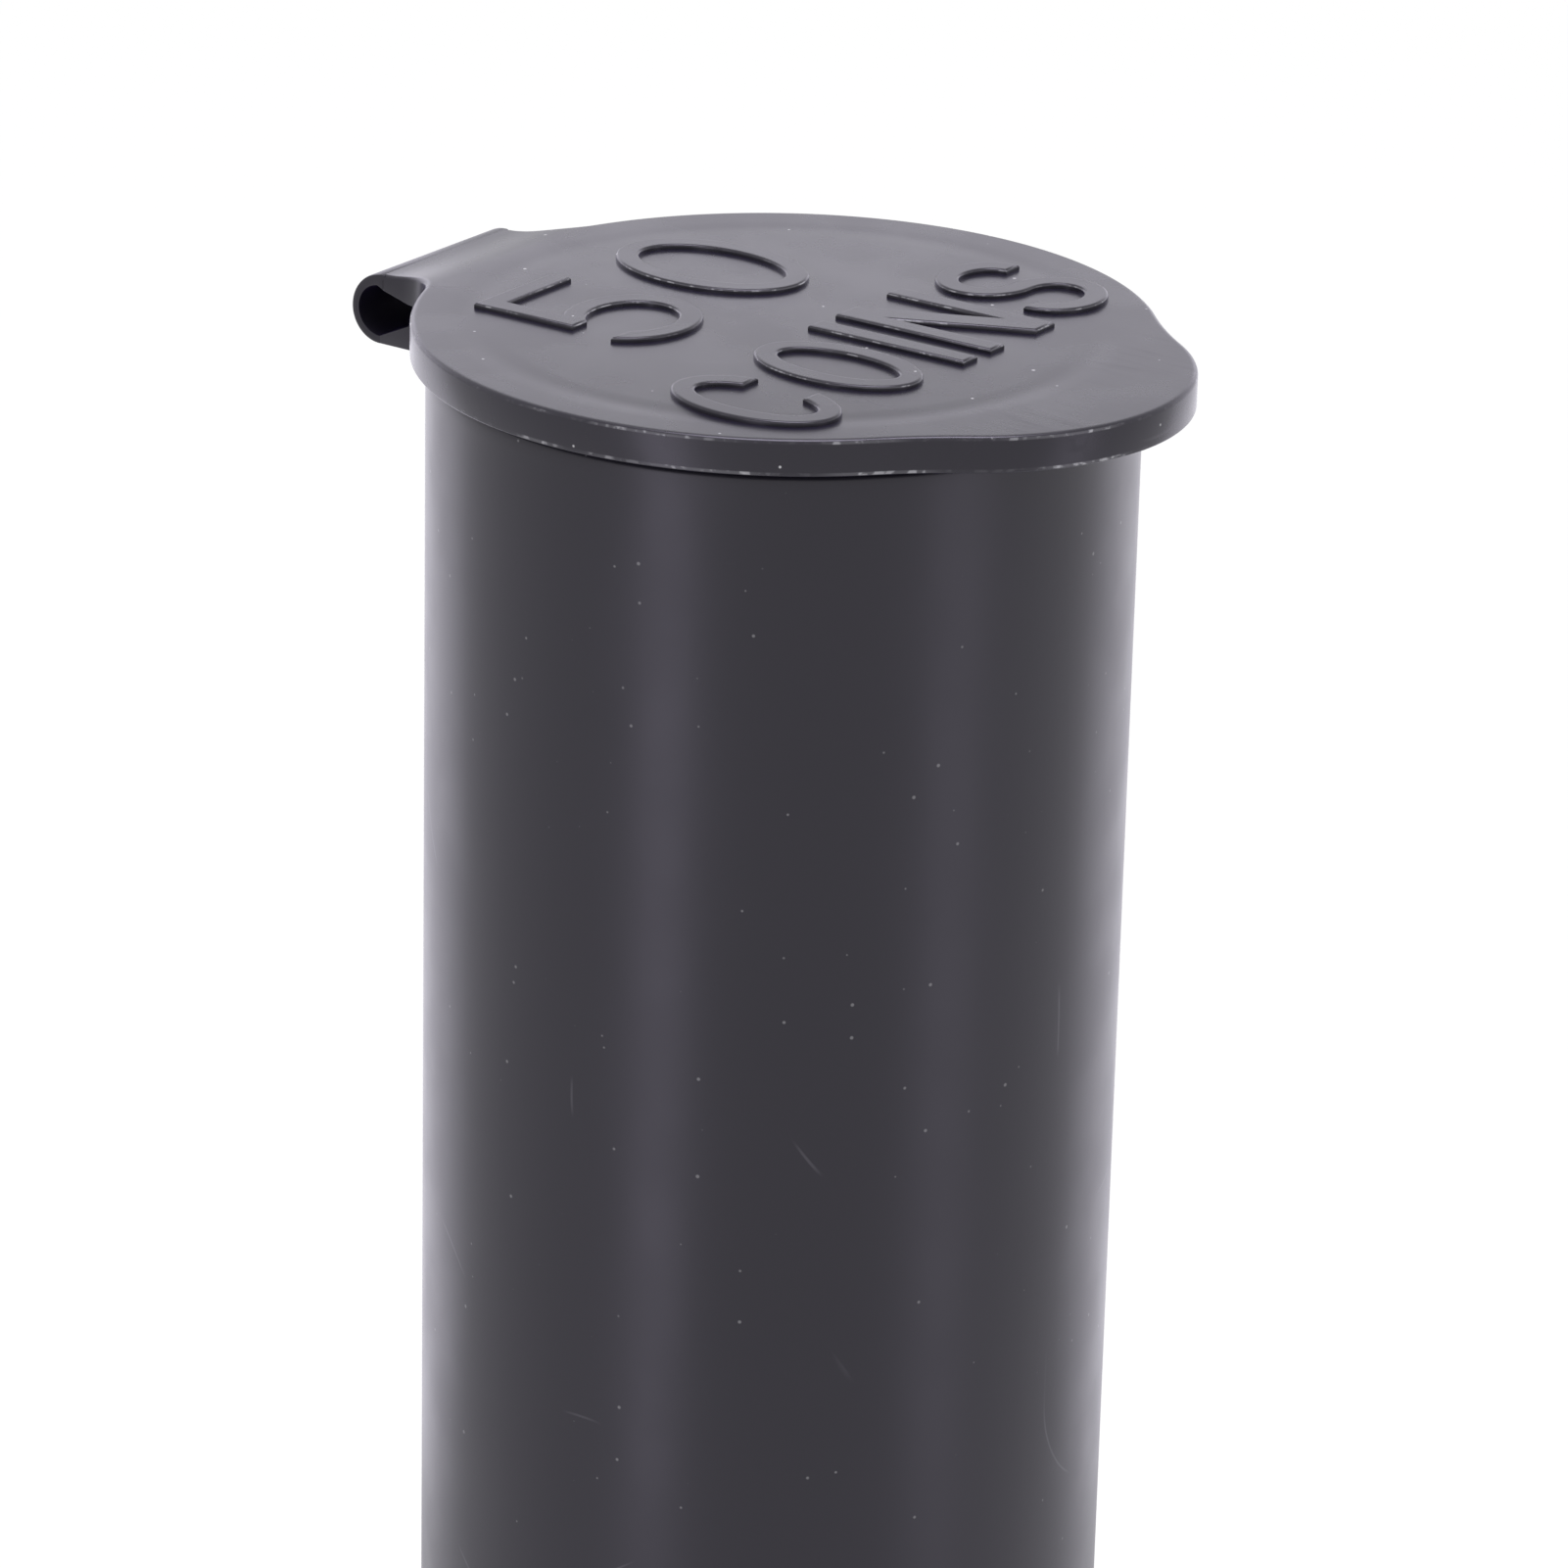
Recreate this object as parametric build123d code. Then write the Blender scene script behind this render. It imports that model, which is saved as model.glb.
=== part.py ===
"""Pop-top tube for one roll of small coins.

The tube, its thumb-tab lid and the strap between them are one plastic moulding. The strap loops out
behind the rim and bends at the loop's outermost line, so the lid swings over and lies open beside the mouth.
Millimetres. The origin is at the middle of the base, +Z runs up the tube, the hinge is at +Y and the
thumb tab at -Y, so the lid's lettering reads along +X.
"""

import os
from math import hypot, sqrt

from build123d import *

os.makedirs("parts", exist_ok=True)

# The roll of coins that sets the bore and the height: fifty coins of 1.35 mm
coin_diameter = 17.9
coin_clearance = 0.3
roll_length = 67.5
head_room = 0.8

# Tube wall and base
wall = 1.0
floor_thickness = 1.2
base_round = 0.5
base_recess_radius = 6.5
base_recess_depth = 0.4
gate_radius = 1.2
gate_height = 0.2

# Mouth of the tube, bored out a little to take the lid's plug
seat_relief = 0.25
seat_room = 0.2
rim_lead_in = 0.25
rim_round = 0.12

# Lid disc with its thumb tab
lid_overhang = 0.45
lid_thickness = 1.05
lid_gap = 0.08
lid_edge_round = 0.18
tab_reach = 1.92
tab_tip_radius = 6.7
tab_flare_radius = 15.0

# Plug under the lid
plug_depth = 2.2
plug_thickness = 0.8
plug_clearance = 0.04
plug_neck_relief = 0.08
plug_bead_top = 0.9
plug_bead_bottom = 1.3
plug_neck_bottom = 0.6
plug_lead_in = 0.31
plug_inner_draft = 0.1

# Hinge strap: a thin loop between a wedge on the tube and a tapered land on the lid
strap_width = 6.0
strap_shoulder_radius = 1.25
strap_land_start = 0.7
strap_land_flat = 0.3
web_thickness = 0.25
web_outer_radius = 0.98
web_reach = 1.66
web_drop = 1.38
lug_thickness = 0.8
lug_flat = 0.9

# Raised lettering on the lid
relief = 0.15
stroke = 0.7
figure_height = 6.2
figure_width = 4.3
figure_gap = 1.2
figure_foot_y = 1.45
five_inset = 0.3
five_bowl_height = 3.9
five_stem_drop = 0.75
five_mouth_drop = 0.7
letter_height = 5.3
letter_width = 3.3
letter_gap = 0.68
letter_foot_y = -6.3
letter_mouth = 2.0
diagonal_width = 0.95

# Sizes that follow from the ones above
bore_radius = coin_diameter / 2 + coin_clearance
outer_radius = bore_radius + wall
seat_radius = bore_radius + seat_relief
rim_z = floor_thickness + roll_length + head_room + plug_depth
seat_z = rim_z - plug_depth - seat_room
lid_radius = outer_radius + lid_overhang
lid_z = rim_z + lid_gap
lid_top = lid_z + lid_thickness
land_y = lid_radius + strap_land_start
web_y = lid_radius + web_reach
web_z = lid_top - web_drop
web_inner_radius = web_outer_radius - web_thickness


def turned(points):
    """Solid of revolution about the tube's axis from a closed outline of (radius, height) points."""
    return revolve(Plane.XZ * make_face(Polyline(*points, close=True)), Axis.Z)


def strap_block(outline):
    """Strap member of full strap width from a face drawn in (y, z)."""
    return extrude(Plane.YZ * outline, amount=strap_width / 2, both=True)


def web_sector(start, end):
    """Stretch of the thin hinge loop between two angles about the loop's middle, 0 facing off the tube."""
    outer = CenterArc((0, 0), web_outer_radius, start, end - start)
    inner = CenterArc((0, 0), web_inner_radius, start, end - start)
    outline = make_face([outer, Line(outer @ 1, inner @ 1), inner, Line(inner @ 0, outer @ 0)])
    return strap_block(Pos(web_y, web_z) * outline)


def tangent_arc_centre(first_radius, second_y, second_radius, arc_radius):
    """Middle of an arc that touches, from outside, a circle at the origin and a second one on the Y axis."""
    first_reach = first_radius + arc_radius
    second_reach = second_radius + arc_radius
    y = (first_reach**2 - second_reach**2 + second_y**2) / (2 * second_y)
    return sqrt(first_reach**2 - y**2), y


def on_line(start, goal, distance):
    """Point at a distance from start on the way to goal."""
    span = hypot(goal[0] - start[0], goal[1] - start[1])
    share = distance / span
    return start[0] + (goal[0] - start[0]) * share, start[1] + (goal[1] - start[1]) * share


def short_arc(start, end, centre):
    """The shorter arc about a centre from start to end, which lie on it."""
    chord_middle = ((start[0] + end[0]) / 2, (start[1] + end[1]) / 2)
    radius = hypot(start[0] - centre[0], start[1] - centre[1])
    return ThreePointArc(start, on_line(centre, chord_middle, radius), end)


# Tube: a straight barrel on a floor whose middle is hollowed so that it stands on its outer ring
barrel_outline = [
    (bore_radius, floor_thickness),
    (outer_radius, floor_thickness),
    (outer_radius, rim_z - rim_round),
    (outer_radius - rim_round, rim_z),
    (seat_radius + rim_lead_in, rim_z),
    (seat_radius, rim_z - rim_lead_in),
    (seat_radius, seat_z),
    (bore_radius, seat_z - seat_relief),
]
tube_barrel = turned(barrel_outline)

floor_outline = [
    (0, floor_thickness),
    (0, base_recess_depth - gate_height),
    (gate_radius, base_recess_depth - gate_height),
    (gate_radius, base_recess_depth),
    (base_recess_radius, base_recess_depth),
    (base_recess_radius + base_recess_depth, 0),
    (outer_radius, 0),
    (outer_radius, floor_thickness),
]
tube_floor = turned(floor_outline)
base_edge = tube_floor.edges().filter_by(GeomType.CIRCLE).group_by(Axis.Z)[0].sort_by(SortBy.RADIUS)[-1]
tube_floor = fillet(base_edge, base_round)

# Lid disc, drawn as one outline: the rim circle, the flared thumb tab and the shoulders of the strap
tip_centre = (0, tab_tip_radius - lid_radius - tab_reach)
flare_centre = tangent_arc_centre(lid_radius, tip_centre[1], tab_tip_radius, tab_flare_radius)
flare_on_rim = on_line((0, 0), flare_centre, lid_radius)
flare_on_tip = on_line(tip_centre, flare_centre, tab_tip_radius)

strap_half = strap_width / 2
shoulder_x = strap_half + strap_shoulder_radius
shoulder_y = sqrt((lid_radius + strap_shoulder_radius) ** 2 - shoulder_x**2)
shoulder_on_rim = on_line((0, 0), (shoulder_x, shoulder_y), lid_radius)
shoulder_on_strap = (strap_half, shoulder_y)

half_edges = [
    short_arc((0, -lid_radius - tab_reach), flare_on_tip, tip_centre),
    short_arc(flare_on_tip, flare_on_rim, flare_centre),
    ThreePointArc(flare_on_rim, (lid_radius, 0), shoulder_on_rim),
    short_arc(shoulder_on_rim, shoulder_on_strap, (shoulder_x, shoulder_y)),
    Line(shoulder_on_strap, (strap_half, land_y)),
    Line((strap_half, land_y), (0, land_y)),
]
other_half_edges = [mirror(edge, about=Plane.YZ) for edge in half_edges]
lid_outline = make_face([*half_edges, *other_half_edges])
lid_plate = extrude(Pos(0, 0, lid_z) * lid_outline, amount=lid_thickness)
lid_top_edges = lid_plate.edges().group_by(Axis.Z)[-1]
lid_rim_edges = lid_top_edges.filter_by_position(Axis.Y, -2 * lid_radius, land_y, inclusive=(True, False))
lid_plate = fillet(lid_rim_edges, lid_edge_round)

# Plug: a skirt with a soft bead that grips the mouth and a tapered nose that finds it
bead_radius = seat_radius - plug_clearance
neck_radius = bead_radius - plug_neck_relief
nose_radius = bead_radius - plug_lead_in
plug_inner_radius = neck_radius - plug_thickness
plug_outline = [
    (plug_inner_radius, lid_z),
    (neck_radius, lid_z),
    (neck_radius, lid_z - plug_neck_bottom),
    (bead_radius, lid_z - plug_bead_top),
    (bead_radius, lid_z - plug_bead_bottom),
    (nose_radius, lid_z - plug_depth),
    (plug_inner_radius + plug_inner_draft, lid_z - plug_depth),
]
lid_plug = turned(plug_outline)

# Hinge strap: land on the lid, wedge on the tube and the loop between them, parted at its bend line
land_outline = Polyline(
    (land_y, lid_top),
    (web_y, web_z + web_outer_radius),
    (web_y, web_z + web_inner_radius),
    (land_y + strap_land_flat, lid_z),
    (land_y, lid_z),
    close=True,
)
hinge_lid_land = strap_block(make_face(land_outline))

lug_bottom = web_z - web_outer_radius
lug_outline = Polyline(
    (0, lug_bottom),
    (web_y, lug_bottom),
    (web_y, web_z - web_inner_radius),
    (outer_radius + lug_flat, lug_bottom + lug_thickness),
    (0, lug_bottom + lug_thickness),
    close=True,
)
lug_blank = strap_block(make_face(lug_outline))
hinge_tube_lug = lug_blank - Pos(0, 0, rim_z / 2) * Cylinder(outer_radius, rim_z)

hinge_web_lower = web_sector(-90, 0)
hinge_web_upper = web_sector(0, 90)


def oval_ring(width, height):
    """Upright oval loop of one stroke, as in an O or a nought."""
    return Ellipse(width / 2, height / 2) - Ellipse(width / 2 - stroke, height / 2 - stroke)


def box_between(left, right, bottom, top):
    """Rectangle from its four limits."""
    return Pos((left + right) / 2, (bottom + top) / 2) * Rectangle(right - left, top - bottom)


def figure_five():
    """The figure 5: a flag and a stem over an open bowl."""
    half_width = figure_width / 2
    half_height = figure_height / 2
    bowl_y = five_bowl_height / 2 - half_height
    stem_left = five_inset - half_width
    stem_right = stem_left + stroke
    stem_foot = bowl_y + five_stem_drop
    bowl = Pos(0, bowl_y) * oval_ring(figure_width, five_bowl_height)
    bowl -= box_between(-half_width, stem_left, bowl_y, half_height)
    bowl -= box_between(-half_width, stem_right, bowl_y - five_mouth_drop, stem_foot)
    stem = box_between(stem_left, stem_right, stem_foot, half_height)
    flag = box_between(stem_left, half_width - five_inset, half_height - stroke, half_height)
    return bowl + stem + flag


def letter_c():
    """The letter C: an oval loop with its mouth cut away."""
    mouth = box_between(0, letter_width / 2, -letter_mouth / 2, letter_mouth / 2)
    return oval_ring(letter_width, letter_height) - mouth


def letter_n():
    """The letter N: two stems and a diagonal."""
    half_width = letter_width / 2
    half_height = letter_height / 2
    left_stem = box_between(-half_width, stroke - half_width, -half_height, half_height)
    right_stem = box_between(half_width - stroke, half_width, -half_height, half_height)
    diagonal = Polygon(
        (half_width - diagonal_width, -half_height),
        (half_width, -half_height),
        (diagonal_width - half_width, half_height),
        (-half_width, half_height),
        align=None,
    )
    return left_stem + right_stem + diagonal


def letter_s():
    """The letter S: two open bowls that share the bar between them."""
    half_width = letter_width / 2
    bowl_height = (letter_height + stroke) / 2
    bowl_y = (letter_height - stroke) / 4
    upper = Pos(0, bowl_y) * oval_ring(letter_width, bowl_height)
    upper -= box_between(0, half_width, -stroke, bowl_y)
    lower = Pos(0, -bowl_y) * oval_ring(letter_width, bowl_height)
    lower -= box_between(-half_width, 0, -bowl_y, stroke)
    return upper + lower


def raised_line(glyphs, widths, gap, foot_y, height):
    """One line of lettering, centred on the lid and standing proud of it."""
    left = -(sum(widths) + gap * (len(widths) - 1)) / 2
    middle_y = foot_y + height / 2
    raised = []
    for glyph, width in zip(glyphs, widths):
        raised.append(extrude(Pos(left + width / 2, middle_y, lid_top) * glyph, amount=relief))
        left += width + gap
    return Compound(children=[piece.solid() for piece in raised])


figures = [figure_five(), oval_ring(figure_width, figure_height)]
figure_widths = [figure_width, figure_width]
lid_number = raised_line(figures, figure_widths, figure_gap, figure_foot_y, figure_height)

letters = [
    letter_c(),
    oval_ring(letter_width, letter_height),
    Rectangle(stroke, letter_height),
    letter_n(),
    letter_s(),
]
letter_widths = [letter_width, letter_width, stroke, letter_width, letter_width]
lid_word = raised_line(letters, letter_widths, letter_gap, letter_foot_y, letter_height)

# The bend line, which the lid swings on, is the outermost line of the loop
print("bend line: y", round(web_y + web_outer_radius, 4), "z", round(web_z, 4))
print("bore radius", bore_radius, "from z", floor_thickness, "to z", round(seat_z - seat_relief, 4))

nodes = {
    "tube_barrel": tube_barrel,
    "tube_floor": tube_floor,
    "hinge_tube_lug": hinge_tube_lug,
    "hinge_web_lower": hinge_web_lower,
    "hinge_web_upper": hinge_web_upper,
    "hinge_lid_land": hinge_lid_land,
    "lid_plate": lid_plate,
    "lid_plug": lid_plug,
    "lid_number": lid_number,
    "lid_word": lid_word,
}
for name, solid in nodes.items():
    export_step(solid, f"parts/{name}.step")
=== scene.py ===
import math

import bpy
from mathutils import Matrix, Vector


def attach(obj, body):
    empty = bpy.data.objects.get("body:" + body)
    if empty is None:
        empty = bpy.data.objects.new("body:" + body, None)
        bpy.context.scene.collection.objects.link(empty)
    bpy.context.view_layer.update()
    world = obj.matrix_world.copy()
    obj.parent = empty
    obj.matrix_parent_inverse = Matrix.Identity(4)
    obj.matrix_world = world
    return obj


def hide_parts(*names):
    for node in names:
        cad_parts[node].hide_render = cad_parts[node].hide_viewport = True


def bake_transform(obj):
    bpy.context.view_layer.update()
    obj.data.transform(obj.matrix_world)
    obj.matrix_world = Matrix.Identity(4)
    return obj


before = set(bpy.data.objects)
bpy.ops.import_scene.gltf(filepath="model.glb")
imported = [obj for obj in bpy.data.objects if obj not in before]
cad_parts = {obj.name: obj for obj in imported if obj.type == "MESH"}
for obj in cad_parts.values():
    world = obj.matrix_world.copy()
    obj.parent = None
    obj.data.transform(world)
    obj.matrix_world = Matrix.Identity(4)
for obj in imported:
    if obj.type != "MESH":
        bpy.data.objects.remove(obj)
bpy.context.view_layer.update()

# Tube. A straight round cup of black polypropylene, moulded round a polished core that leaves the coin bore.
# It stands on a ring round its hollowed base, where the runner broke off at a small round gate,
# and its mouth is bored out a little wider, with a chamfer, to take the plug of the lid.
mm = 0.001
merge_reach = 0.001 * mm
turn_steps = 256
corner_steps = 5
smooth_angle = math.radians(32)
bore_radius = 9.25
outer_radius = 10.25
seat_radius = 9.5
seat_foot = 69.3
bore_top = 69.05
rim_z = 71.7
rim_chamfer = 0.25
rim_round = 0.32
inside_floor = 1.2
inside_round = 0.35
base_round = 0.5
recess_radius = 6.5
recess_edge_radius = 6.9
recess_height = 0.4
recess_round = 0.12
gate_radius = 1.2
gate_height = 0.2
gate_round = 0.07
corner_hold = 0.25


def rounded(corners):
    """Outline through (a, b, radius) corners, each turned on its radius, and plain where that is nought."""
    outline = []
    for index, (a, b, radius) in enumerate(corners):
        here = Vector((a, b))
        if radius == 0:
            outline.append(here)
            continue
        back = (Vector(corners[index - 1][:2]) - here).normalized()
        on = (Vector(corners[(index + 1) % len(corners)][:2]) - here).normalized()
        half = back.angle(on) / 2
        centre = here + (back + on).normalized() * (radius / math.sin(half))
        start = here + back * (radius / math.tan(half)) - centre
        end = here + on * (radius / math.tan(half)) - centre
        sweep = -start.angle_signed(end)
        for step in range(corner_steps + 1):
            outline.append(centre + Matrix.Rotation(sweep * step / corner_steps, 2) @ start)
    return outline


def trace(points):
    """Draws a line through points in millimetres, vertex by vertex, in the piece that is in edit mode."""
    bpy.ops.mesh.select_mode(type="VERT")
    bpy.ops.mesh.select_all(action="DESELECT")
    bpy.ops.mesh.primitive_plane_add(size=mm)
    bpy.ops.mesh.merge(type="CENTER")
    pen = Vector((0, 0, 0))
    for index, point in enumerate(points):
        goal = Vector(point) * mm
        if index == 0:
            bpy.ops.transform.translate(value=goal)
        else:
            bpy.ops.mesh.extrude_region_move(TRANSFORM_OT_translate={"value": goal - pen})
        pen = goal


def draw_line(name, points):
    """New piece with one line drawn through points in millimetres, left in edit mode."""
    bpy.ops.object.select_all(action="DESELECT")
    bpy.ops.mesh.primitive_plane_add(size=mm)
    piece = bpy.context.object
    piece.name = name
    piece.data.name = name
    bpy.ops.object.mode_set(mode="EDIT")
    bpy.ops.mesh.select_all(action="SELECT")
    bpy.ops.mesh.delete(type="VERT")
    trace(points)
    return piece


def close_up(piece):
    """Merges doubled vertices, turns the faces outwards and smooths all but the sharp edges."""
    bpy.ops.mesh.select_all(action="SELECT")
    bpy.ops.mesh.remove_doubles(threshold=merge_reach)
    bpy.ops.mesh.normals_make_consistent(inside=False)
    bpy.ops.object.mode_set(mode="OBJECT")
    bpy.ops.object.shade_smooth_by_angle(angle=smooth_angle)


def turned(name, profile):
    """Piece turned about the tube's axis from (radius, height) points in millimetres."""
    piece = draw_line(name, [(radius, 0, height) for radius, height in profile])
    bpy.ops.mesh.select_all(action="SELECT")
    bpy.ops.mesh.spin(steps=turn_steps, angle=2 * math.pi, center=(0, 0, 0), axis=(0, 0, 1))
    close_up(piece)
    return piece


tube_corners = [
    (0, inside_floor, 0),
    (bore_radius - inside_round - corner_hold, inside_floor, 0),
    (bore_radius, inside_floor, inside_round),
    (bore_radius, inside_floor + inside_round + corner_hold, 0),
    (bore_radius, bore_top - corner_hold, 0),
    (bore_radius, bore_top, 0),
    (seat_radius, seat_foot, 0),
    (seat_radius, seat_foot + corner_hold, 0),
    (seat_radius, rim_z - rim_chamfer - corner_hold, 0),
    (seat_radius, rim_z - rim_chamfer, 0),
    (seat_radius + rim_chamfer, rim_z, 0),
    (outer_radius, rim_z, rim_round),
    (outer_radius, rim_z - rim_round - corner_hold, 0),
    (outer_radius, base_round + corner_hold, 0),
    (outer_radius, 0, base_round),
    (outer_radius - base_round - corner_hold, 0, 0),
    (recess_edge_radius, 0, recess_round),
    (recess_radius, recess_height, recess_round),
    (gate_radius, recess_height, gate_round),
    (gate_radius, gate_height, gate_round),
    (0, gate_height, 0),
]
tube = turned("tube", rounded(tube_corners))

plastic_black = (0.0065, 0.0058, 0.0092, 1)
plastic_scuffed = (0.045, 0.043, 0.05, 1)
# Pale grey of plastic worn white at its edges; on the characters' upper edges it is also a painted highlight.
whitened_and_highlight_grey = (0.3, 0.3, 0.31, 1)
dust_white = (0.42, 0.42, 0.42, 1)
plastic_ior = 1.47
plastic_sheen = (0.95, 0.92, 1, 1)
haze_weight = 0.024
haze_roughness = 0.5
haze_tint = (0.2, 0.05, 1, 1)
noise_middle = 0.5
gloss_patch_scale = 320
gloss_patch_range = (0.35, 0.65)
smoothest = 0.31
roughest = 0.345
grain_scale = 7000
grain_height = 0.0009
swell_scale = 210
swell_height = 0.014
scratch_scale = 95
scratch_width = (0.0008, 0.0024)
scratch_patch_scale = 330
scratch_patch_range = (0.64, 0.74)
scratch_strength = 0.7
dust_scale = 1600
dust_size = 0.11
dust_edge = 0.05
run_scale = 280
run_range = (0.42, 0.56)
run_strength = (0.08, 1)
crumb_scale = 3600
crumb_range = (0.5, 0.66)
crumb_strength = (0.15, 0.8)
pale_band_core = 1 / 3
worn_to_y = 9.6
worn_fade = 0.3
thumbed_y = (-11.5, -8)
thumbed_range = (0.5, 0.66)
thumbed_strength = (0.1, 1)
streak_scale = 330
streak_stretch = (11, 1, 11)
streak_range = (0.45, 0.75)
streak_roughness = 0.12
streak_height = 0.003


def feed(tree, socket, value):
    """Links a socket to another one, or sets it to a plain value."""
    if isinstance(value, bpy.types.NodeSocket):
        tree.links.new(value, socket)
    else:
        socket.default_value = value


def add_node(tree, kind, settings=None, **inputs):
    """Adds a shader node, sets its options, and feeds the inputs that are named."""
    made = tree.nodes.new(kind)
    for option, value in (settings or {}).items():
        setattr(made, option, value)
    for name, value in inputs.items():
        feed(tree, made.inputs[name.replace("_", " ")], value)
    return made


def calculate(tree, operation, first, second):
    """Value that a Math node works out from two sockets or numbers."""
    made = add_node(tree, "ShaderNodeMath", {"operation": operation})
    feed(tree, made.inputs[0], first)
    feed(tree, made.inputs[1], second)
    return made.outputs["Value"]


def ramp(tree, value, span, to_span):
    """Value carried smoothly from one span to another and held at its ends."""
    ranged = add_node(
        tree,
        "ShaderNodeMapRange",
        {"interpolation_type": "SMOOTHSTEP"},
        Value=value,
        From_Min=span[0],
        From_Max=span[1],
        To_Min=to_span[0],
        To_Max=to_span[1],
    )
    return ranged.outputs["Result"]


def noise(tree, place, scale, detail):
    """Cloudy value from nought to one, finer with the scale and rougher with the detail."""
    return add_node(tree, "ShaderNodeTexNoise", Vector=place, Scale=scale, Detail=detail).outputs["Fac"]


def tinted(tree, share, under, over):
    """Colour under another one, which shows by its share."""
    mixed = add_node(tree, "ShaderNodeMix", {"data_type": "RGBA"})
    sockets = [socket for socket in mixed.inputs if socket.enabled]
    for socket, value in zip(sockets, (share, under, over)):
        feed(tree, socket, value)
    return next(socket for socket in mixed.outputs if socket.enabled)


def off_from(tree, value, middle):
    """Distance of a value from a middle one."""
    return calculate(tree, "ABSOLUTE", calculate(tree, "SUBTRACT", value, middle), 0)


def black_polypropylene(name, dust_share, dust_strength=0.8, worn_and_highlight_heights=(), thumbed=False, smoother=0):
    """Satin black polypropylene with dust, fine scratches, and edges worn pale at the given heights, which on
    the characters is also a painted highlight.
    """
    material = bpy.data.materials.new(name)
    material.use_nodes = True
    tree = material.node_tree
    shader = tree.nodes["Principled BSDF"]
    shader.inputs["IOR"].default_value = plastic_ior
    shader.inputs["Specular Tint"].default_value = plastic_sheen
    shader.inputs["Sheen Weight"].default_value = haze_weight
    shader.inputs["Sheen Roughness"].default_value = haze_roughness
    shader.inputs["Sheen Tint"].default_value = haze_tint
    place = add_node(tree, "ShaderNodeTexCoord").outputs["Object"]
    axes = add_node(tree, "ShaderNodeSeparateXYZ", Vector=place).outputs

    # The skin of the moulding: a slightly patchy gloss, a fine grain and slow unevenness.
    cloud = noise(tree, place, gloss_patch_scale, detail=4)
    satin = ramp(tree, cloud, gloss_patch_range, (smoothest - smoother, roughest - smoother))
    grain = noise(tree, place, grain_scale, detail=3)
    fine = add_node(tree, "ShaderNodeBump", Height=grain, Strength=1, Distance=grain_height * mm)
    swell = noise(tree, place, swell_scale, detail=1)
    skin = add_node(tree, "ShaderNodeBump", Height=swell, Strength=1, Distance=swell_height * mm)
    tree.links.new(fine.outputs["Normal"], skin.inputs["Normal"])

    # Short, slightly curved hairline scratches.
    off_line = off_from(tree, noise(tree, place, scratch_scale, detail=0), noise_middle)
    hairline = ramp(tree, off_line, scratch_width, (1, 0))
    patch = noise(tree, place, scratch_patch_scale, detail=0)
    in_patch = ramp(tree, patch, scratch_patch_range, (0, scratch_strength))
    scratch = calculate(tree, "MULTIPLY", hairline, in_patch)
    colour = tinted(tree, scratch, plastic_black, plastic_scuffed)

    # Specks of dust.
    cell = add_node(tree, "ShaderNodeTexVoronoi", Vector=place, Scale=dust_scale).outputs
    chance = add_node(tree, "ShaderNodeSeparateColor", Color=cell["Color"]).outputs["Red"]
    size = ramp(tree, chance, (1 - dust_share, 1), (0, dust_size))
    inside = calculate(tree, "SUBTRACT", size, cell["Distance"])
    speck = ramp(tree, inside, (0, dust_edge), (0, dust_strength))
    colour = tinted(tree, speck, colour, dust_white)

    # Edges worn pale, crumb by crumb, in short runs; on the raised characters this pale band is also a
    # painted highlight.
    run = noise(tree, place, run_scale, detail=1)
    crumb = noise(tree, place, crumb_scale, detail=2)
    in_run = ramp(tree, run, run_range, run_strength)
    rub_and_highlight = calculate(tree, "MULTIPLY", in_run, ramp(tree, crumb, crumb_range, crumb_strength))
    off_strap = ramp(tree, axes["Y"], (worn_to_y * mm, (worn_to_y + worn_fade) * mm), (1, 0))
    for worn_and_highlight_height, reach in worn_and_highlight_heights:
        away = off_from(tree, axes["Z"], worn_and_highlight_height * mm)
        edge = ramp(tree, away, (pale_band_core * reach * mm, reach * mm), (1, 0))
        edge = calculate(tree, "MULTIPLY", edge, off_strap)
        colour = tinted(tree, calculate(tree, "MULTIPLY", edge, rub_and_highlight), colour, whitened_and_highlight_grey)

    # Streaks along the tab, where thumbs push.
    if thumbed:
        stretched = add_node(tree, "ShaderNodeMapping", Vector=place, Scale=streak_stretch).outputs["Vector"]
        streak = noise(tree, stretched, streak_scale, detail=3)
        on_tab = ramp(tree, axes["Y"], (thumbed_y[0] * mm, thumbed_y[1] * mm), (1, 0))
        pushed = calculate(tree, "MULTIPLY", on_tab, ramp(tree, run, thumbed_range, thumbed_strength))
        rougher = calculate(tree, "MULTIPLY", pushed, ramp(tree, streak, streak_range, (0, streak_roughness)))
        satin = calculate(tree, "ADD", satin, rougher)
        scored = add_node(tree, "ShaderNodeBump", Height=streak, Strength=pushed, Distance=streak_height * mm)
        tree.links.new(skin.outputs["Normal"], scored.inputs["Normal"])
        skin = scored

    tree.links.new(colour, shader.inputs["Base Color"])
    tree.links.new(satin, shader.inputs["Roughness"])
    tree.links.new(skin.outputs["Normal"], shader.inputs["Normal"])
    return material


def finish_piece(piece, body, nodes, material):
    """Gives a piece its finish, the body that it moves with and the CAD nodes that it stands for."""
    piece.data.materials.append(material)
    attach(piece, body)
    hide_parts(*nodes)


tube_black = black_polypropylene("tube_black", dust_share=0.65, dust_strength=0.22)
finish_piece(tube, "tube", ["tube_barrel", "tube_floor"], tube_black)

# Hinge lug. The wedge on the back of the tube that carries the foot of the strap, moulded in one with
# the wall, so its root runs into it. Its top falls away towards the thin loop.
strap_half = 3.0
lug_root_y = 9.7
lug_flat_y = 11.15
loop_y = 12.34
loop_z = 71.4
loop_outer = 1.0
loop_inner = 0.75
lug_bottom = loop_z - loop_outer
lug_thickness = 0.8
lug_top = lug_bottom + lug_thickness
strap_round = 0.05
strap_round_steps = 2
hair = 0.001


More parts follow.
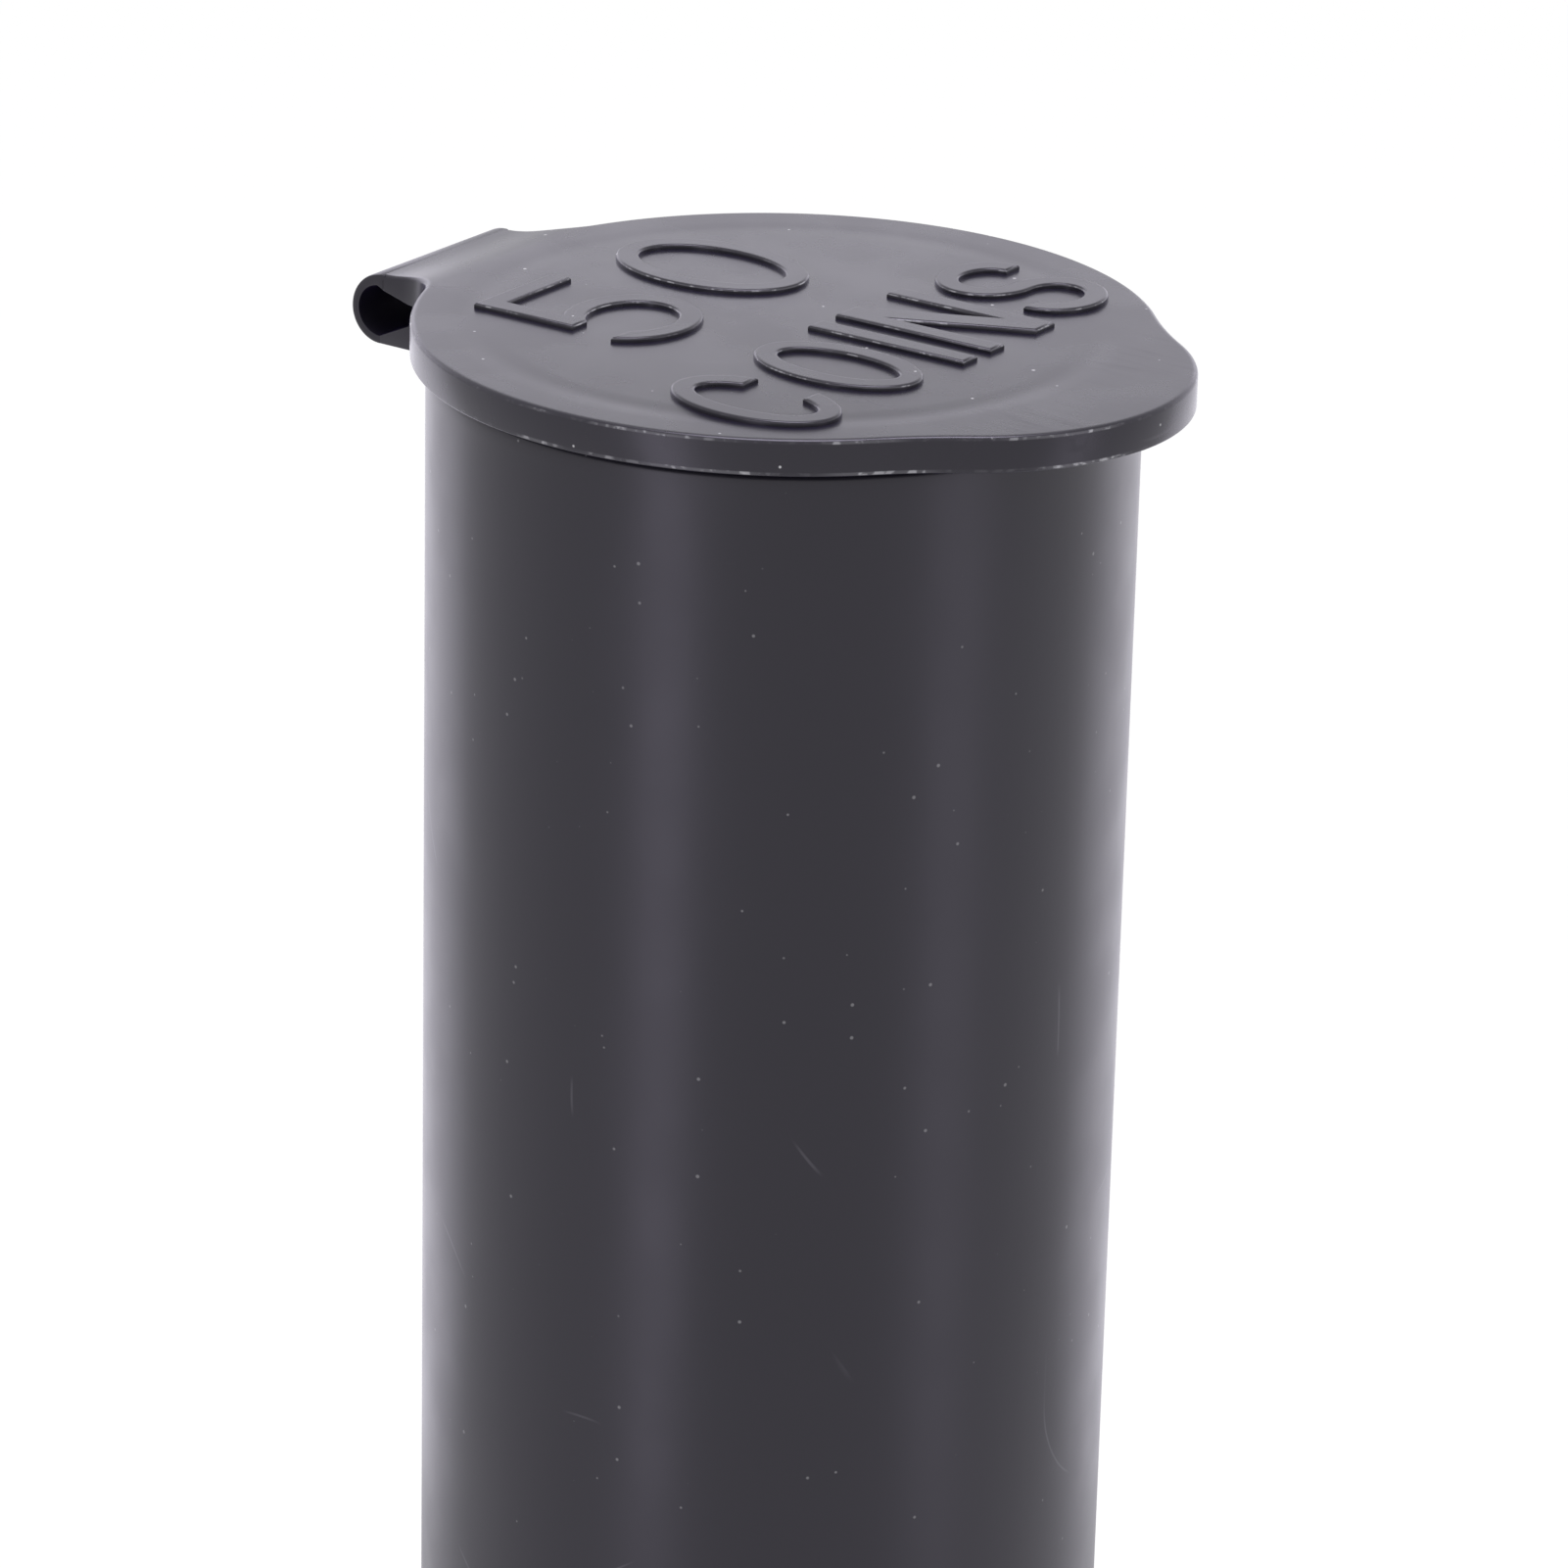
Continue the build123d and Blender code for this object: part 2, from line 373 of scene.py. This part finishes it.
def select_edges(piece, test):
    """Selects the edges of a piece whose two ends, in millimetres, pass a test, in edit mode."""
    bpy.ops.mesh.select_mode(type="EDGE")
    bpy.ops.mesh.select_all(action="DESELECT")
    bpy.ops.object.mode_set(mode="OBJECT")
    places = [vertex.co / mm for vertex in piece.data.vertices]
    for edge in piece.data.edges:
        edge.select = test(places[edge.vertices[0]], places[edge.vertices[1]])
    bpy.ops.object.mode_set(mode="EDIT")


lug_outline = [
    (-strap_half, lug_root_y, lug_bottom),
    (-strap_half, loop_y, lug_bottom),
    (-strap_half, loop_y, loop_z - loop_inner),
    (-strap_half, lug_flat_y, lug_top),
    (-strap_half, lug_root_y, lug_top),
]
lug = draw_line("hinge_lug", lug_outline)
bpy.ops.mesh.select_all(action="SELECT")
bpy.ops.mesh.edge_face_add()
bpy.ops.mesh.extrude_region_move(TRANSFORM_OT_translate={"value": (2 * strap_half * mm, 0, 0)})
select_edges(lug, lambda a, b: max(a.y, b.y) > lug_root_y + hair and abs(a.x - b.x) < hair)
bpy.ops.mesh.bevel(offset=strap_round * mm, segments=strap_round_steps, affect="EDGES")
close_up(lug)
finish_piece(lug, "tube", ["hinge_tube_lug"], black_polypropylene("lug_black", dust_share=0.1))

# Lid. A flat disc moulded with a flared thumb tab in front and, behind, the shoulders and the tapered land
# of the strap. Its upper edge is broken by a small round, and over the plug the top has sunk a little
# in a ring, as thick places do when the moulding cools.
lid_radius = 10.7
lid_bottom = 71.78
lid_top = 72.83
lid_round = 0.14
lid_round_steps = 5
lid_foot_round = 0.05
lid_foot_steps = 3
tab_tip_y = -12.62
tab_tip_radius = 6.7
tab_flare_radius = 15.0
shoulder_radius = 1.8
land_start_y = 9.9
land_end_y = 12.2
land_end_top = 72.52
land_end_bottom = 72.03
land_foot_y = 11.3
land_rows = 20
place_digits = 3
rim_steps = 120
arc_steps = 28
shoulder_steps = 16
support = 0.06
sink_radii = [9.75, 9.5, 9.25, 9.0, 8.75, 8.5, 8.25]
sink_depths = [0, 0.004, 0.013, 0.018, 0.013, 0.004, 0]


def arc(centre, start, end, steps):
    """Points of the shorter arc about a centre from start to end, without the start."""
    spoke = Vector(start) - Vector(centre)
    sweep = -spoke.angle_signed(Vector(end) - Vector(centre))
    return [Vector(centre) + Matrix.Rotation(sweep * step / steps, 2) @ spoke for step in range(1, steps + 1)]


def select_points(piece, test):
    """Selects the vertices of a piece whose place in millimetres passes a test, in edit mode."""
    bpy.ops.mesh.select_mode(type="VERT")
    bpy.ops.mesh.select_all(action="DESELECT")
    bpy.ops.object.mode_set(mode="OBJECT")
    for vertex in piece.data.vertices:
        vertex.select = test(vertex.co / mm)
    bpy.ops.object.mode_set(mode="EDIT")


tip_centre = Vector((0, tab_tip_y + tab_tip_radius))
rim_reach = lid_radius + tab_flare_radius
tip_reach = tab_tip_radius + tab_flare_radius
flare_y = (rim_reach**2 - tip_reach**2 + tip_centre.y**2) / (2 * tip_centre.y)
flare_centre = Vector((math.sqrt(rim_reach**2 - flare_y**2), flare_y))
flare_on_rim = flare_centre * (lid_radius / rim_reach)
flare_on_tip = tip_centre + (flare_centre - tip_centre) * (tab_tip_radius / tip_reach)
shoulder_reach = lid_radius + shoulder_radius
shoulder_x = strap_half + shoulder_radius
shoulder_centre = Vector((shoulder_x, math.sqrt(shoulder_reach**2 - shoulder_x**2)))
shoulder_on_rim = shoulder_centre * (lid_radius / shoulder_reach)
shoulder_on_strap = Vector((strap_half, shoulder_centre.y))

half_outline = [Vector((0, tab_tip_y))]
half_outline += arc(tip_centre, half_outline[0], flare_on_tip, arc_steps)
half_outline += arc(flare_centre, flare_on_tip, flare_on_rim, arc_steps)
half_outline += arc((0, 0), flare_on_rim, shoulder_on_rim, rim_steps)
half_outline += arc(shoulder_centre, shoulder_on_rim, shoulder_on_strap, shoulder_steps)
half_outline.append(Vector((strap_half, land_end_y)))
other_half = [Vector((-point.x, point.y)) for point in reversed(half_outline[1:])]
lid = draw_line("lid", [(point.x, point.y, lid_bottom) for point in half_outline + other_half])
bpy.ops.mesh.select_all(action="SELECT")
bpy.ops.mesh.edge_face_add()
bpy.ops.mesh.extrude_region_move(TRANSFORM_OT_translate={"value": (0, 0, (lid_top - lid_bottom) * mm)})
bpy.ops.mesh.select_all(action="SELECT")
bpy.ops.mesh.normals_make_consistent(inside=False)


def on_rim_at(height):
    """Test for edges of the lid's outline at a height, apart from the strap's end."""
    return lambda a, b: max(abs(a.z - height), abs(b.z - height)) < hair and min(a.y, b.y) < land_end_y - hair


select_edges(lid, on_rim_at(lid_top))
bpy.ops.mesh.bevel(offset=lid_round * mm, segments=lid_round_steps, affect="EDGES", clamp_overlap=False)
select_edges(lid, on_rim_at(lid_bottom))
bpy.ops.mesh.bevel(offset=lid_foot_round * mm, segments=lid_foot_steps, affect="EDGES", clamp_overlap=False)

# The flat top is opened, given the sunk ring as a row of hoops, and closed again in the middle.
select_points(lid, lambda place: place.z > lid_top - hair)
bpy.ops.mesh.select_mode(type="FACE")
bpy.ops.mesh.inset(thickness=support * mm)
bpy.ops.mesh.delete(type="ONLY_FACE")
bpy.ops.mesh.select_mode(type="EDGE")
lid_middle = Vector((0, 0, lid_top)) * mm
bpy.ops.mesh.primitive_circle_add(vertices=turn_steps, radius=sink_radii[0] * mm, location=lid_middle)
bpy.ops.mesh.select_all(action="DESELECT")
bpy.ops.mesh.select_non_manifold()
bpy.ops.mesh.fill(use_beauty=True)
for ring in range(1, len(sink_radii)):
    ring_outside = sink_radii[ring - 1]
    select_points(lid, lambda place: place.z > lid_top - lid_round and place.xy.length < ring_outside + hair)
    bpy.ops.mesh.select_mode(type="EDGE")
    bpy.ops.mesh.extrude_region_move()
    shrink = sink_radii[ring] / ring_outside
    bpy.ops.transform.resize(value=(shrink, shrink, 1), center_override=lid_middle)
    bpy.ops.transform.translate(value=(0, 0, (sink_depths[ring - 1] - sink_depths[ring]) * mm))
bpy.ops.mesh.edge_face_add()

# The strap is cut in rows, and each row is let down and thinned on its way to the loop.
mid_height = (lid_top + lid_bottom) / 2
for row in range(land_rows):
    row_y = land_start_y + (land_end_y - land_start_y) * row / land_rows
    bpy.ops.mesh.select_all(action="SELECT")
    bpy.ops.mesh.bisect(plane_co=(0, row_y * mm, 0), plane_no=(0, 1, 0))
bpy.ops.object.mode_set(mode="OBJECT")
lid_places = {round(vertex.co.y / mm, place_digits) for vertex in lid.data.vertices}
strap_places = sorted(place for place in lid_places if place > land_start_y)
bpy.ops.object.mode_set(mode="EDIT")
for row_y in strap_places:
    share = min(1, (row_y - land_start_y) / (land_end_y - land_start_y))
    fall = (land_end_top - lid_top) * share**2 * (3 - 2 * share)
    lift = (land_end_bottom - lid_bottom) * max(0, (row_y - land_foot_y) / (land_end_y - land_foot_y))
    select_points(lid, lambda place: abs(place.y - row_y) < hair / 2 and place.z > mid_height)
    bpy.ops.transform.translate(value=(0, 0, fall * mm))
    select_points(lid, lambda place: abs(place.y - row_y) < hair / 2 and place.z < mid_height)
    bpy.ops.transform.translate(value=(0, 0, lift * mm))
close_up(lid)
edge_drop = 0.6
edge_reach = 0.05
foot_lift = 1.5
foot_reach = 0.06
lid_worn = [
    (lid_top - lid_round * edge_drop, edge_reach),
    (lid_bottom + lid_foot_round * foot_lift, foot_reach),
]
lid_smoother = 0.055
lid_black = black_polypropylene(
    "lid_black", dust_share=0.55, worn_and_highlight_heights=lid_worn, thumbed=True, smoother=lid_smoother
)
finish_piece(lid, "lid", ["lid_plate", "hinge_lid_land"], lid_black)

# Plug. The skirt under the lid, moulded with it, with a soft bead that grips the mouth and a tapered nose
# that finds it. Its root runs up into the disc.
plug_root = 71.98
plug_inner = 8.58
plug_inner_foot = 8.68
plug_neck = 9.38
plug_bead = 9.46
plug_nose = 9.15
plug_foot = 69.58
plug_neck_drop = 0.6
plug_bead_drop = 0.9
plug_nose_drop = 1.3
plug_round = 0.1
plug_foot_round = 0.12
plug_corners = [
    (plug_inner, plug_root, 0),
    (plug_neck, plug_root, 0),
    (plug_neck, lid_bottom - plug_neck_drop, plug_round),
    (plug_bead, lid_bottom - plug_bead_drop, plug_round),
    (plug_bead, lid_bottom - plug_nose_drop, plug_round),
    (plug_nose, plug_foot, plug_foot_round),
    (plug_inner_foot, plug_foot, plug_foot_round),
    (plug_inner, plug_root, 0),
]
plug = turned("lid_skirt", rounded(plug_corners))
finish_piece(plug, "lid", ["lid_plug"], black_polypropylene("plug_black", dust_share=0.1))

# Hinge loop. The living hinge itself: a strip of the same plastic about a quarter of a millimetre thick. It
# loops out behind the rim, from the wedge on the tube to the land on the lid, and bends as the lid swings.
loop_steps = 24
loop_overlap = 0.06
loop_root_drop = 0.02
loop_sharp_angle = math.radians(60)
loop_reach = loop_y + loop_outer - land_end_y
loop_rise = land_end_top - loop_z
hollow_start_angle = 83


def bow(middle_y, reach, start, end, steps):
    """Points on an upright bow at the strap's near end, about the loop's height, between two angles."""
    angles = [math.radians(start + (end - start) * step / steps) for step in range(steps + 1)]
    bent = [(middle_y + reach[0] * math.cos(angle), loop_z + reach[1] * math.sin(angle)) for angle in angles]
    return [(-strap_half, y, z) for y, z in bent]


outer_line = [(-strap_half, land_end_y - loop_overlap, land_end_top)]
outer_line += bow(land_end_y, (loop_reach, loop_rise), 90, 90 / loop_steps, loop_steps - 1)
outer_line += bow(loop_y, (loop_outer, loop_outer), 0, -90, loop_steps)
outer_line.append((-strap_half, loop_y - loop_overlap, loop_z - loop_outer))
inner_line = [(-strap_half, land_end_y - loop_overlap, land_end_bottom - loop_root_drop)]
inner_line += bow(loop_y, (loop_inner, loop_inner), hollow_start_angle, -90, 2 * loop_steps)
inner_line.append((-strap_half, loop_y - loop_overlap, loop_z - loop_inner))
loop = draw_line("hinge_loop", outer_line)
trace(inner_line)
bpy.ops.mesh.select_mode(type="EDGE")
bpy.ops.mesh.select_all(action="SELECT")
bpy.ops.mesh.bridge_edge_loops()
bpy.ops.mesh.select_all(action="SELECT")
bpy.ops.mesh.extrude_region_move(TRANSFORM_OT_translate={"value": (2 * strap_half * mm, 0, 0)})
bpy.ops.mesh.select_all(action="SELECT")
bpy.ops.mesh.normals_make_consistent(inside=False)
bpy.ops.mesh.select_all(action="DESELECT")
bpy.ops.mesh.edges_select_sharp(sharpness=loop_sharp_angle)
bpy.ops.mesh.bevel(offset=strap_round * mm, segments=strap_round_steps, affect="EDGES")
close_up(loop)
loop.data.materials.append(black_polypropylene("loop_black", dust_share=0.1))
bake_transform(loop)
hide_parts("hinge_web_lower", "hinge_web_upper")

# Raised number and word. Plain monoline characters that stand a little proud of the lid, cut into the mould
# with rounded edges that catch the light and rub pale, and the pale band on those edges is also a painted
# highlight. They say how many coins the tube takes.
relief = 0.15
relief_root = 0.05
relief_round = 0.075
relief_round_steps = 3
relief_support = 0.04
stroke = 0.7
oval_steps = 72
fewest_steps = 8
number_y = 4.55
word_y = -3.65


def oval(middle_y, reach, start, end):
    """Points on an upright oval of the given half sizes, from one angle in degrees to another."""
    steps = max(fewest_steps, round(oval_steps * abs(end - start) / 360))
    angles = [math.radians(start + (end - start) * step / steps) for step in range(steps + 1)]
    return [(reach[0] * math.cos(angle), middle_y + reach[1] * math.sin(angle)) for angle in angles]


def raise_up(piece):
    """Raises the flat character in edit mode out of the lid and rounds its upper edge."""
    bpy.ops.mesh.select_all(action="SELECT")
    bpy.ops.mesh.extrude_region_move(TRANSFORM_OT_translate={"value": (0, 0, (relief + relief_root) * mm)})
    bpy.ops.mesh.select_all(action="SELECT")
    bpy.ops.mesh.normals_make_consistent(inside=False)
    select_points(piece, lambda place: place.z > lid_top)
    bpy.ops.mesh.select_mode(type="FACE")
    bpy.ops.mesh.region_to_loop()
    bpy.ops.mesh.bevel(
        offset=relief_round * mm, segments=relief_round_steps, affect="EDGES", clamp_overlap=False
    )
    select_points(piece, lambda place: place.z > lid_top + relief - hair)
    bpy.ops.mesh.select_mode(type="FACE")
    bpy.ops.mesh.inset(thickness=relief_support * mm)
    close_up(piece)
    return piece


def outlined(name, middle_x, middle_y, outline):
    """Raised character from its closed outline in millimetres round its own middle."""
    foot = lid_top - relief_root
    piece = draw_line(name, [(middle_x + x, middle_y + y, foot) for x, y in outline])
    bpy.ops.mesh.select_all(action="SELECT")
    bpy.ops.mesh.remove_doubles(threshold=merge_reach)
    bpy.ops.mesh.edge_face_add()
    return raise_up(piece)


def looped(name, middle_x, middle_y, reach):
    """Raised oval ring of one stroke, from its outer half sizes in millimetres."""
    centre = Vector((middle_x, middle_y, lid_top - relief_root)) * mm
    bpy.ops.object.select_all(action="DESELECT")
    bpy.ops.mesh.primitive_circle_add(vertices=oval_steps, radius=mm)
    piece = bpy.context.object
    piece.name = name
    piece.data.name = name
    bpy.ops.object.mode_set(mode="EDIT")
    bpy.ops.mesh.select_all(action="SELECT")
    bpy.ops.transform.resize(value=(reach[0], reach[1], 1), center_override=(0, 0, 0))
    bpy.ops.transform.translate(value=centre)
    bpy.ops.mesh.primitive_circle_add(vertices=oval_steps, radius=mm)
    bpy.ops.transform.resize(value=(reach[0] - stroke, reach[1] - stroke, 1), center_override=(0, 0, 0))
    bpy.ops.transform.translate(value=centre)
    bpy.ops.mesh.select_mode(type="EDGE")
    bpy.ops.mesh.select_all(action="SELECT")
    bpy.ops.mesh.bridge_edge_loops()
    return raise_up(piece)


def join_characters(name, pieces):
    """Joins the characters of one line into one piece with that name."""
    bpy.ops.object.select_all(action="DESELECT")
    for piece in pieces:
        piece.select_set(True)
    bpy.context.view_layer.objects.active = pieces[0]
    bpy.ops.object.join()
    pieces[0].name = name
    pieces[0].data.name = name
    return pieces[0]


def angle_of(share):
    """Angle in degrees whose sine is the share."""
    return math.degrees(math.asin(share))


# The figures stand five and a half millimetres apart, and the 5 has its flag and stem over an open bowl.
figure_pitch = 5.5
figure_reach = (2.15, 3.1)
bowl_y = -1.15
bowl_reach = (2.15, 1.95)
bowl_hollow = (1.45, 1.25)
stem_left = -1.85
stem_right = stem_left + stroke
flag_right = 1.85
mouth_drop = 0.7
hollow_foot = math.degrees(math.acos(stem_right / bowl_hollow[0]))
bowl_foot = math.degrees(math.acos(stem_right / bowl_reach[0]))
stem_foot = bowl_y + bowl_hollow[1] * math.sin(math.radians(hollow_foot))
five_outline = [(flag_right, figure_reach[1]), (stem_left, figure_reach[1]), (stem_left, stem_foot)]
five_outline += oval(bowl_y, bowl_hollow, hollow_foot, angle_of(mouth_drop / bowl_hollow[1]) - 180)
five_outline += oval(bowl_y, bowl_reach, angle_of(mouth_drop / bowl_reach[1]) - 180, bowl_foot)
five_outline += [(stem_right, figure_reach[1] - stroke), (flag_right, figure_reach[1] - stroke)]
five = outlined("figure_five", -figure_pitch / 2, number_y, five_outline)
nought = looped("figure_nought", figure_pitch / 2, number_y, figure_reach)
number = join_characters("lid_number_raised", [five, nought])
# The characters' upper edges are painted pale, partly as wear and partly as a painted highlight along them.
character_reach = 0.025
character_wear_and_highlight = [(lid_top + relief - relief_round * edge_drop, character_reach)]
number_black = black_polypropylene(
    "number_black", dust_share=0.4, worn_and_highlight_heights=character_wear_and_highlight, smoother=lid_smoother
)
finish_piece(number, "lid", ["lid_number"], number_black)

# The letters stand on their own pitch, with an I between them that is one stroke wide.
letter_reach = (1.65, 2.65)
letter_hollow = (letter_reach[0] - stroke, letter_reach[1] - stroke)
mouth_half = 1.0
diagonal_width = 0.95
near_letter_x = 2.68
far_letter_x = 6.66
c_outline = oval(
    0, letter_reach, angle_of(mouth_half / letter_reach[1]), 360 - angle_of(mouth_half / letter_reach[1])
)
c_outline += oval(
    0, letter_hollow, 360 - angle_of(mouth_half / letter_hollow[1]), angle_of(mouth_half / letter_hollow[1])
)
i_outline = [
    (-stroke / 2, -letter_reach[1]),
    (stroke / 2, -letter_reach[1]),
    (stroke / 2, letter_reach[1]),
    (-stroke / 2, letter_reach[1]),
]
stem_edge = letter_reach[0] - stroke
slant_run = 2 * letter_reach[0] - diagonal_width
slant_y = letter_reach[1] - 2 * letter_reach[1] * stroke / slant_run
n_half = [
    (-letter_reach[0], -letter_reach[1]),
    (-stem_edge, -letter_reach[1]),
    (-stem_edge, slant_y),
    (letter_reach[0] - diagonal_width, -letter_reach[1]),
    (letter_reach[0], -letter_reach[1]),
]
n_outline = n_half + [(-x, -y) for x, y in n_half]
s_bowl_y = (letter_reach[1] - stroke / 2) / 2
s_reach = (letter_reach[0], letter_reach[1] - s_bowl_y)
s_hollow = (s_reach[0] - stroke, s_reach[1] - stroke)
s_outline = oval(s_bowl_y, s_reach, 0, 270)
s_outline += oval(-s_bowl_y, s_hollow, 90, -180)
s_outline += oval(-s_bowl_y, s_reach, 180, 450)
s_outline += oval(s_bowl_y, s_hollow, 270, 0)
letters = [
    outlined("letter_c", -far_letter_x, word_y, c_outline),
    looped("letter_o", -near_letter_x, word_y, letter_reach),
    outlined("letter_i", 0, word_y, i_outline),
    outlined("letter_n", near_letter_x, word_y, n_outline),
    outlined("letter_s", far_letter_x, word_y, s_outline),
]
word = join_characters("lid_word_raised", letters)
word_black = black_polypropylene(
    "word_black", dust_share=0.4, worn_and_highlight_heights=character_wear_and_highlight, smoother=lid_smoother
)
finish_piece(word, "lid", ["lid_word"], word_black)

# Stage: a plain white floor, a white room and soft boxes that stand close round the small object. The floor
# looks almost plain white to the camera and in reflections, and it still takes the object's shadow.
floor_half = 3.0
floor_white = 0.97
floor_glow = 0.9
plain_white = 1.0
bpy.ops.object.select_all(action="DESELECT")
bpy.ops.mesh.primitive_plane_add(size=2 * floor_half)
floor = bpy.context.object
floor.name = "floor"
floor_paint = bpy.data.materials.new("floor_white")
floor_paint.use_nodes = True
tree = floor_paint.node_tree
tree.nodes.clear()
path = add_node(tree, "ShaderNodeLightPath").outputs
looked_at = calculate(tree, "MAXIMUM", path["Is Camera Ray"], path["Is Glossy Ray"])
looked_at = calculate(tree, "MAXIMUM", looked_at, path["Is Transmission Ray"])
glowing = calculate(tree, "MULTIPLY", looked_at, floor_glow)
paper = add_node(tree, "ShaderNodeBsdfDiffuse", Color=(floor_white, floor_white, floor_white, 1))
glow = add_node(tree, "ShaderNodeEmission", Strength=plain_white)
mixed = add_node(tree, "ShaderNodeMixShader", Fac=glowing)
tree.links.new(paper.outputs["BSDF"], mixed.inputs[1])
tree.links.new(glow.outputs["Emission"], mixed.inputs[2])
output = tree.nodes.new("ShaderNodeOutputMaterial")
tree.links.new(mixed.outputs["Shader"], output.inputs["Surface"])
floor.data.materials.append(floor_paint)

scene = bpy.context.scene
scene.view_settings.view_transform = "Standard"
room = bpy.data.worlds.new("white_room")
room.use_nodes = True
scene.world = room
room_light = room.node_tree.nodes["Background"].inputs
room_light["Color"].default_value = (plain_white, plain_white, plain_white, 1)
room_light["Strength"].default_value = plain_white

# Camera values, which the lights share, because they stand by bearings from the camera's side.
view_azimuth = math.radians(-55.5)
view_elevation = math.radians(21.361)
level_back = Vector((math.sin(view_azimuth), -math.cos(view_azimuth), 0))
level_right = Vector((math.cos(view_azimuth), math.sin(view_azimuth), 0))
box_tint = (0.89, 0.85, 1)


def soft_box(name, bearing, distance, height, size, glow, aim_height):
    """Soft light that stands at a bearing in degrees to the right of the camera, facing the tube's axis."""
    turn = math.radians(bearing)
    foot = (level_back * math.cos(turn) + level_right * math.sin(turn)) * distance
    place = foot + Vector((0, 0, height))
    away = (place - Vector((0, 0, aim_height))).normalized()
    side = Vector((0, 0, 1)).cross(away).normalized()
    rise = away.cross(side)
    light = bpy.data.lights.new(name, "AREA")
    light.shape = "RECTANGLE"
    light.size = size[0] * mm
    light.size_y = size[1] * mm
    light.energy = math.pi * size[0] * size[1] * mm**2 * glow
    light.color = box_tint
    lamp_object = bpy.data.objects.new(name, light)
    scene.collection.objects.link(lamp_object)
    turned_to = Matrix((side, rise, away)).transposed().to_4x4()
    lamp_object.matrix_world = Matrix.Translation(place * mm) @ turned_to
    lamp_object.visible_camera = False


soft_box("box_front_left", bearing=-34, distance=80, height=62, size=(20, 130), glow=1.8, aim_height=62)
soft_box("box_front_right", bearing=55, distance=80, height=62, size=(24, 130), glow=0.86, aim_height=62)
soft_box("box_back_left", bearing=-142, distance=75, height=55, size=(70, 110), glow=0.85, aim_height=55)
soft_box("box_back_right", bearing=140, distance=75, height=55, size=(70, 110), glow=0.68, aim_height=55)
soft_box("box_back", bearing=-172, distance=45, height=86, size=(90, 8), glow=0.95, aim_height=86)
soft_box("box_overhead", bearing=0, distance=1, height=222, size=(80, 80), glow=9.0, aim_height=73)

# Camera. It stands where the photograph was taken from, as fitted to the outlines of the tube and the lid,
# and it is turned a little so that the tube leans in the picture as it does there.
view_roll = math.radians(1.336)
focal_pixels = 7212.6
picture_pixels = 1601
sensor_width = 36.0
aim_pixel = (802.06, 326.8)
middle_pixel = 800.0
view_distance = 201.1
near_clip = 0.01
back = level_back * math.cos(view_elevation) + Vector((0, 0, math.sin(view_elevation)))
level_up = back.cross(level_right)
right = level_right * math.cos(view_roll) + level_up * math.sin(view_roll)
up = level_up * math.cos(view_roll) - level_right * math.sin(view_roll)
pixel_size = view_distance / focal_pixels
eye = Vector((0, 0, lid_top)) + back * view_distance
eye -= right * ((aim_pixel[0] - middle_pixel) * pixel_size)
eye += up * ((aim_pixel[1] - middle_pixel) * pixel_size)
camera_data = bpy.data.cameras.new("camera")
camera_data.sensor_width = sensor_width
camera_data.lens = focal_pixels / picture_pixels * sensor_width
camera_data.clip_start = near_clip
camera = bpy.data.objects.new("camera", camera_data)
scene.collection.objects.link(camera)
camera.matrix_world = Matrix.Translation(eye * mm) @ Matrix((right, up, back)).transposed().to_4x4()
scene.camera = camera
